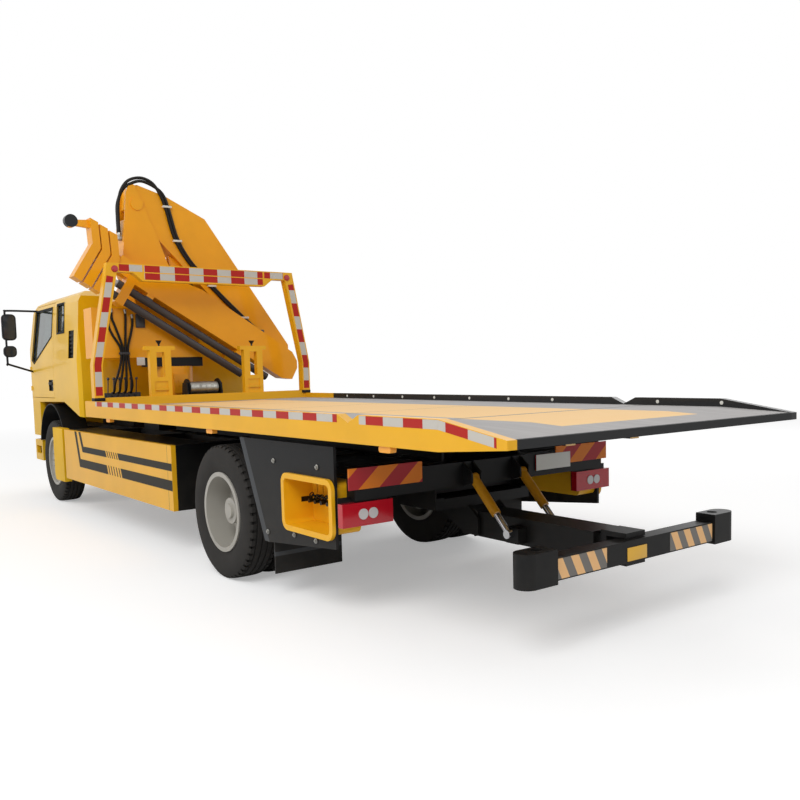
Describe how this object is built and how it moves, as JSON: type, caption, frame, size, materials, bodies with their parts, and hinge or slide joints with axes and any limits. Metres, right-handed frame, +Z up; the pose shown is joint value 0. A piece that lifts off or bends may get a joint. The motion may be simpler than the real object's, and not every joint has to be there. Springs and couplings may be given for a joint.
{
  "type": "slide-deck tow truck with loader crane",
  "caption": "Yellow slide-deck tow truck with a flat sliding bed, a folded loader crane behind the cab, a guard arch and a wheel-lift at the rear.",
  "frame": {"origin": "on the ground below the middle of the truck's length and width", "axes": "+X forward, +Y to the truck's left, +Z up"},
  "size_m": [9.58, 2.89, 3.64],
  "materials": {
    "cab_paint": "gloss",
    "body_paint": "gloss",
    "crane_paint": "gloss",
    "chassis_black": "satin",
    "deck_grey": "satin",
    "rod_chrome": "polished",
    "ram_mustard": "satin",
    "rim_silver": "satin",
    "tyre_rubber": "matte",
    "engine_iron": "matte",
    "spring_steel": "matte",
    "trim_plastic": "matte",
    "glass_clear": "polished",
    "lamp_clear": "polished",
    "lamp_red": "gloss",
    "board_orange": "satin"
  },
  "bodies": {
    "chassis": {"chassis_frame": "chassis_black", "leaf_springs": "spring_steel", "front_axle": "chassis_black", "rear_axle": "chassis_black", "engine_and_shaft": "engine_iron", "front_bumper": "cab_paint", "headlamps": "lamp_clear", "front_fenders": "chassis_black", "side_skirts": "body_paint", "rear_mudguards": "chassis_black", "chain_baskets": "body_paint", "rear_beam": "chassis_black", "tail_lamps": "lamp_red", "marker_boards": "board_orange", "underlift_mount": "chassis_black", "crane_base": "crane_paint", "slew_ring": "chassis_black", "valve_bank": "chassis_black"},
    "cab": {"cab_shell": "cab_paint", "cab_glass": "glass_clear", "cab_interior": "trim_plastic", "cab_trim": "trim_plastic"},
    "left_door": {"door_left": "cab_paint", "door_glass_left": "glass_clear", "mirror_left": "trim_plastic"},
    "right_door": {"door_right": "cab_paint", "door_glass_right": "glass_clear", "mirror_right": "trim_plastic"},
    "left_knuckle": {"knuckle_left": "chassis_black"},
    "right_knuckle": {"knuckle_right": "chassis_black"},
    "front_left_wheel": {"front_tyre_left": "tyre_rubber", "front_rim_left": "rim_silver"},
    "front_right_wheel": {"front_tyre_right": "tyre_rubber", "front_rim_right": "rim_silver"},
    "rear_left_wheel": {"rear_tyres_left": "tyre_rubber", "rear_rims_left": "rim_silver"},
    "rear_right_wheel": {"rear_tyres_right": "tyre_rubber", "rear_rims_right": "rim_silver"},
    "tilting_frame": {"tilt_frame": "chassis_black"},
    "tilt_ram_barrels": {"tilt_barrels": "chassis_black"},
    "tilt_ram_rods": {"tilt_rods": "rod_chrome"},
    "deck": {"deck_platform": "deck_grey", "deck_rails": "body_paint", "guard_arch": "body_paint", "ladder_stands": "body_paint", "winch_frame": "chassis_black"},
    "winch": {"winch_drum": "chassis_black"},
    "lift_arm": {"lift_boom": "chassis_black"},
    "tongue": {"lift_tongue": "chassis_black"},
    "cross_bar": {"crossbar": "chassis_black"},
    "lift_ram_barrels": {"lift_barrels": "ram_mustard"},
    "lift_ram_rods": {"lift_rods": "rod_chrome"},
    "column": {"crane_column": "crane_paint"},
    "first_boom": {"inner_boom": "crane_paint"},
    "fold_ram_barrel": {"fold_barrel": "chassis_black"},
    "fold_ram_rod": {"fold_rod": "rod_chrome"},
    "second_boom": {"outer_boom": "crane_paint"},
    "stage_1": {"boom_stage_1": "crane_paint"},
    "stage_2": {"boom_stage_2": "crane_paint"},
    "stage_3": {"boom_stage_3": "crane_paint"}
  },
  "joints": [
    {"name": "cab_tilt", "type": "hinge", "parent": "chassis", "child": "cab", "pos_m": [4.68, 0, 0.85], "axis": [0, 1, 0], "range_deg": [0, 45]},
    {"name": "left_door_hinge", "type": "hinge", "parent": "cab", "child": "left_door", "pos_m": [4.554, 1.05, 1.5], "axis": [0, 0, -1], "range_deg": [0, 70]},
    {"name": "right_door_hinge", "type": "hinge", "parent": "cab", "child": "right_door", "pos_m": [4.554, -1.05, 1.5], "axis": [0, 0, 1], "range_deg": [0, 70]},
    {"name": "left_steering", "type": "hinge", "parent": "chassis", "child": "left_knuckle", "pos_m": [3.605, 0.84, 0.5095], "axis": [0, 0, 1], "range_deg": [-30, 30]},
    {"name": "right_steering", "type": "hinge", "parent": "chassis", "child": "right_knuckle", "pos_m": [3.605, -0.84, 0.5095], "axis": [0, 0, 1], "range_deg": [-30, 30]},
    {"name": "front_left_roll", "type": "hinge", "parent": "left_knuckle", "child": "front_left_wheel", "pos_m": [3.605, 0.933, 0.5095], "axis": [0, 1, 0], "continuous": true},
    {"name": "front_right_roll", "type": "hinge", "parent": "right_knuckle", "child": "front_right_wheel", "pos_m": [3.605, -0.933, 0.5095], "axis": [0, 1, 0], "continuous": true},
    {"name": "rear_left_roll", "type": "hinge", "parent": "chassis", "child": "rear_left_wheel", "pos_m": [-1.61, 0.93, 0.5095], "axis": [0, 1, 0], "continuous": true},
    {"name": "rear_right_roll", "type": "hinge", "parent": "chassis", "child": "rear_right_wheel", "pos_m": [-1.61, -0.93, 0.5095], "axis": [0, 1, 0], "continuous": true},
    {"name": "deck_tilt", "type": "hinge", "parent": "chassis", "child": "tilting_frame", "pos_m": [-3.17, 0, 1.026], "axis": [0, -1, 0], "range_deg": [0, 15]},
    {"name": "tilt_ram_swing", "type": "hinge", "parent": "chassis", "child": "tilt_ram_barrels", "pos_m": [0.2, 0, 0.83], "axis": [0, 1, 0], "range_deg": [-1, 33.5]},
    {"name": "tilt_ram_stroke", "type": "slide", "parent": "tilt_ram_barrels", "child": "tilt_ram_rods", "axis": [-0.9765, 0, 0.2156], "range_m": [-0.01, 0.43]},
    {"name": "deck_slide", "type": "slide", "parent": "tilting_frame", "child": "deck", "axis": [-1, 0, 0], "range_m": [0, 2.8]},
    {"name": "winch_spin", "type": "hinge", "parent": "deck", "child": "winch", "pos_m": [1.395, 0, 1.4], "axis": [0, 1, 0], "continuous": true},
    {"name": "lift_tilt", "type": "hinge", "parent": "chassis", "child": "lift_arm", "pos_m": [-3.29, 0, 0.49], "axis": [0, -1, 0], "range_deg": [-10, 8]},
    {"name": "tongue_slide", "type": "slide", "parent": "lift_arm", "child": "tongue", "axis": [-1, 0, 0], "range_m": [0, 0.65]},
    {"name": "crossbar_pivot", "type": "hinge", "parent": "tongue", "child": "cross_bar", "pos_m": [-4.46, 0, 0.51], "axis": [0, 0, 1], "range_deg": [-20, 20]},
    {"name": "lift_ram_swing", "type": "hinge", "parent": "chassis", "child": "lift_ram_barrels", "pos_m": [-3.395, 0, 0.835], "axis": [0, 1, 0], "range_deg": [-12, 12]},
    {"name": "lift_ram_stroke", "type": "slide", "parent": "lift_ram_barrels", "child": "lift_ram_rods", "axis": [-0.7017, 0, -0.7125], "range_m": [-0.08, 0.08]},
    {"name": "crane_slew", "type": "hinge", "parent": "chassis", "child": "column", "pos_m": [1.87, 0.15, 1.72], "axis": [0, 0, 1], "range_deg": [-10, 10]},
    {"name": "first_boom_lift", "type": "hinge", "parent": "column", "child": "first_boom", "pos_m": [1.87, 0.52, 3.43], "axis": [1, 0, 0], "range_deg": [-123, 0]},
    {"name": "second_boom_fold", "type": "hinge", "parent": "first_boom", "child": "second_boom", "pos_m": [1.62, -1.18, 1.72], "axis": [1, 0, 0], "range_deg": [-12, 3]},
    {"name": "fold_ram_swing", "type": "hinge", "parent": "first_boom", "child": "fold_ram_barrel", "pos_m": [1.87, 0.086, 2.753], "axis": [1, 0, 0], "range_deg": [-8, 8]},
    {"name": "fold_ram_stroke", "type": "slide", "parent": "fold_ram_barrel", "child": "fold_ram_rod", "axis": [0, -0.6995, -0.7146], "range_m": [-0.05, 0.09]},
    {"name": "stage_1_slide", "type": "slide", "parent": "second_boom", "child": "stage_1", "axis": [0, 0.8554, 0.518], "range_m": [0, 1.3]},
    {"name": "stage_2_slide", "type": "slide", "parent": "stage_1", "child": "stage_2", "axis": [0, 0.8554, 0.518], "range_m": [0, 1.3]},
    {"name": "stage_3_slide", "type": "slide", "parent": "stage_2", "child": "stage_3", "axis": [0, 0.8554, 0.518], "range_m": [0, 1.3]}
  ],
  "couplings": [
    {"joint": "right_steering", "follows": "left_steering", "ratio": 1},
    {"joint": "tilt_ram_swing", "follows": "deck_tilt", "ratio": 2.1519},
    {"joint": "tilt_ram_stroke", "follows": "deck_tilt", "m_per_rad": 1.568},
    {"joint": "lift_ram_swing", "follows": "lift_tilt", "ratio": -0.63362},
    {"joint": "lift_ram_stroke", "follows": "lift_tilt", "m_per_rad": 0.31892},
    {"joint": "fold_ram_swing", "follows": "second_boom_fold", "ratio": -0.41485},
    {"joint": "fold_ram_stroke", "follows": "second_boom_fold", "m_per_rad": -0.23884}
  ]
}
